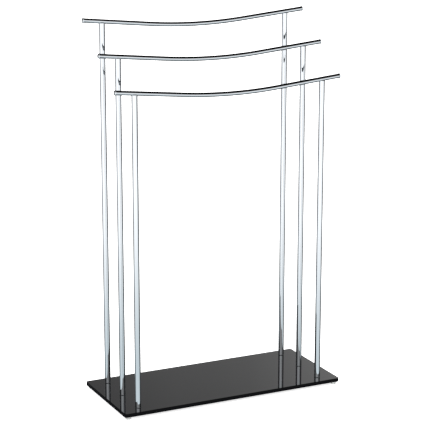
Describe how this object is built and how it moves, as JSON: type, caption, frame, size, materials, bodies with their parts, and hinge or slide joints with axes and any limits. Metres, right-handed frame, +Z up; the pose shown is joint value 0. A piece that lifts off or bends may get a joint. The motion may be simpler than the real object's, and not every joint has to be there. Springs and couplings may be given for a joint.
{
  "type": "towel stand",
  "caption": "Free-standing towel stand: tube frames with shallow curved rails, stepping up from front to back on a flat glass base with small feet.",
  "frame": {"origin": "on the floor under the middle of the base plate, the centre of the bounding box's underside", "axes": "+Z up; +X along the rails, to the right; -Y is the front, the side of the lowest rail"},
  "size_m": [0.5074, 0.22, 0.7947],
  "materials": {
    "chrome_tube": "bright chrome plate on polished steel tube",
    "chrome_cap": "bright chrome plate on a pressed cap",
    "black_glass": "polished black toughened glass",
    "bumper": "translucent soft polyurethane",
    "zinc_steel": "bright zinc plate",
    "soft_pvc": "soft grey PVC",
    "nylon": "natural moulded nylon"
  },
  "bodies": {
    "root": {"base_plate": "black_glass", "foot_front_left": "bumper", "foot_front_right": "bumper", "foot_back_left": "bumper", "foot_back_right": "bumper", "rail_front": "chrome_tube", "rail_middle": "chrome_tube", "rail_back": "chrome_tube", "post_front_left": "chrome_tube", "post_front_right": "chrome_tube", "post_middle_left": "chrome_tube", "post_middle_right": "chrome_tube", "post_back_left": "chrome_tube", "post_back_right": "chrome_tube", "top_plug_front_left": "chrome_tube", "top_plug_front_right": "chrome_tube", "top_plug_middle_left": "chrome_tube", "top_plug_middle_right": "chrome_tube", "top_plug_back_left": "chrome_tube", "top_plug_back_right": "chrome_tube", "foot_plug_front_left": "zinc_steel", "foot_plug_front_right": "zinc_steel", "foot_plug_middle_left": "zinc_steel", "foot_plug_middle_right": "zinc_steel", "foot_plug_back_left": "zinc_steel", "foot_plug_back_right": "zinc_steel", "gasket_front_left": "soft_pvc", "gasket_front_right": "soft_pvc", "gasket_middle_left": "soft_pvc", "gasket_middle_right": "soft_pvc", "gasket_back_left": "soft_pvc", "gasket_back_right": "soft_pvc", "hole_bush_front_left": "nylon", "hole_bush_front_right": "nylon", "hole_bush_middle_left": "nylon", "hole_bush_middle_right": "nylon", "hole_bush_back_left": "nylon", "hole_bush_back_right": "nylon", "washer_front_left": "zinc_steel", "washer_front_right": "zinc_steel", "washer_middle_left": "zinc_steel", "washer_middle_right": "zinc_steel", "washer_back_left": "zinc_steel", "washer_back_right": "zinc_steel", "base_screw_front_left": "zinc_steel", "base_screw_front_right": "zinc_steel", "base_screw_middle_left": "zinc_steel", "base_screw_middle_right": "zinc_steel", "base_screw_back_left": "zinc_steel", "base_screw_back_right": "zinc_steel", "rail_cap_front_left": "chrome_cap", "rail_cap_front_right": "chrome_cap", "rail_cap_middle_left": "chrome_cap", "rail_cap_middle_right": "chrome_cap", "rail_cap_back_left": "chrome_cap", "rail_cap_back_right": "chrome_cap"}
  },
  "joints": []
}
